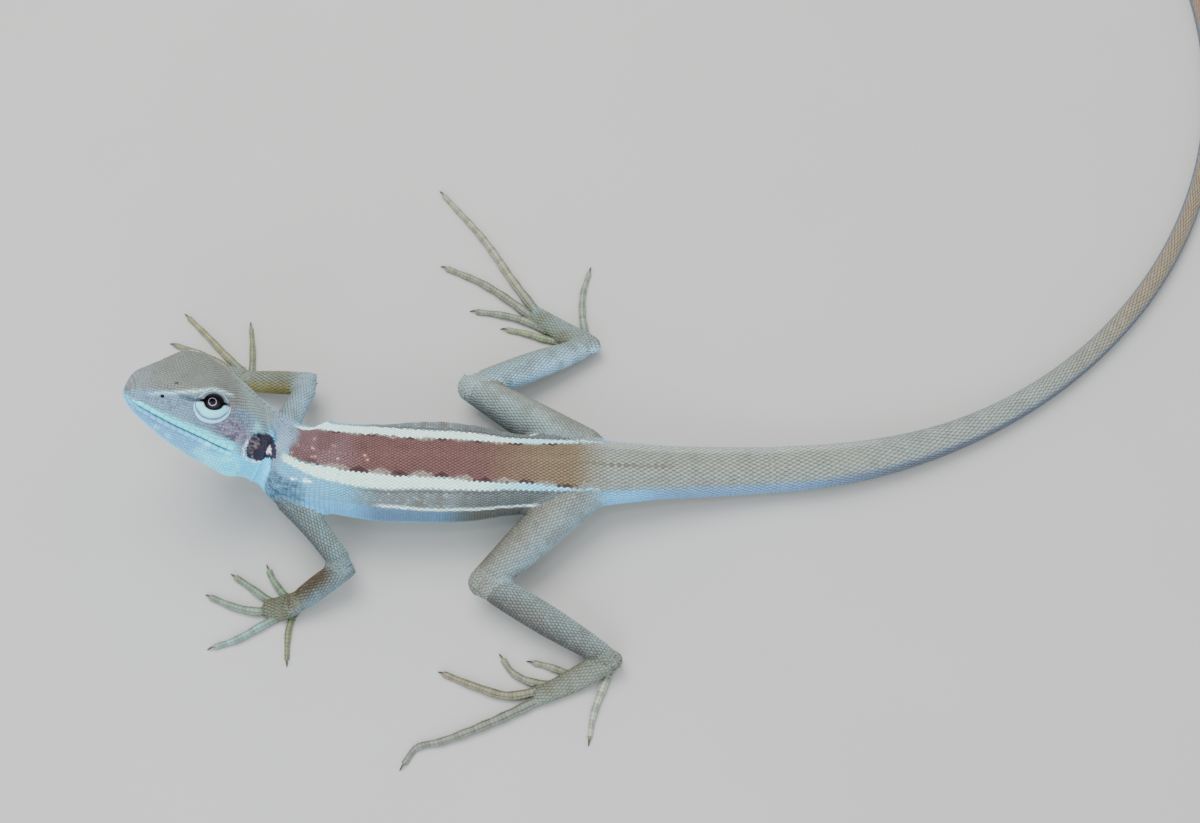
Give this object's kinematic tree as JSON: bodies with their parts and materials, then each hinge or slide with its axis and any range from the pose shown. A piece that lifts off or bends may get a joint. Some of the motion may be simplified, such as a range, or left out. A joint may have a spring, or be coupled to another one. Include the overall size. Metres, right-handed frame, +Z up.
{
  "type": "ta-ta lizard (still life-size model)",
  "caption": "Ta-ta lizard, a slender brown dragon with cream back stripes, resting with its head turned up and its long tail curved.",
  "frame": {"origin": "middle of the footprint, at floor level", "axes": "+Z up; the lizard faces -X, its left side is towards -Y"},
  "size_m": [0.2286, 0.2476, 0.0378],
  "materials": {
    "head_skin": "dry fine scales, taupe above and pale blue-white on the lips and jaw",
    "neck_skin": "dry granular scales, blue-grey",
    "torso_skin": "small keeled scales, brick brown band between two cream stripes, grey flanks",
    "tail_skin": "keeled scales in rows, tan above and pale blue-grey below",
    "limb_skin": "keeled scales, grey-tan",
    "digit_skin": "banded scales, olive-yellow, with dark horn claws",
    "eye": "wet gloss, dark with a thin pale ring",
    "eardrum": "thin dark membrane"
  },
  "bodies": {
    "root": {"head": "head_skin", "neck": "neck_skin", "torso": "torso_skin", "left_eye": "eye", "right_eye": "eye", "left_eardrum": "eardrum", "right_eardrum": "eardrum", "tail_1": "tail_skin", "tail_2": "tail_skin", "tail_3": "tail_skin", "tail_4": "tail_skin", "tail_5": "tail_skin", "left_upper_arm": "limb_skin", "left_forearm": "limb_skin", "left_thigh": "limb_skin", "left_shank": "limb_skin", "left_hand": "digit_skin", "left_foot": "digit_skin", "right_upper_arm": "limb_skin", "right_forearm": "limb_skin", "right_thigh": "limb_skin", "right_shank": "limb_skin", "right_hand": "digit_skin", "right_foot": "digit_skin"}
  },
  "joints": []
}
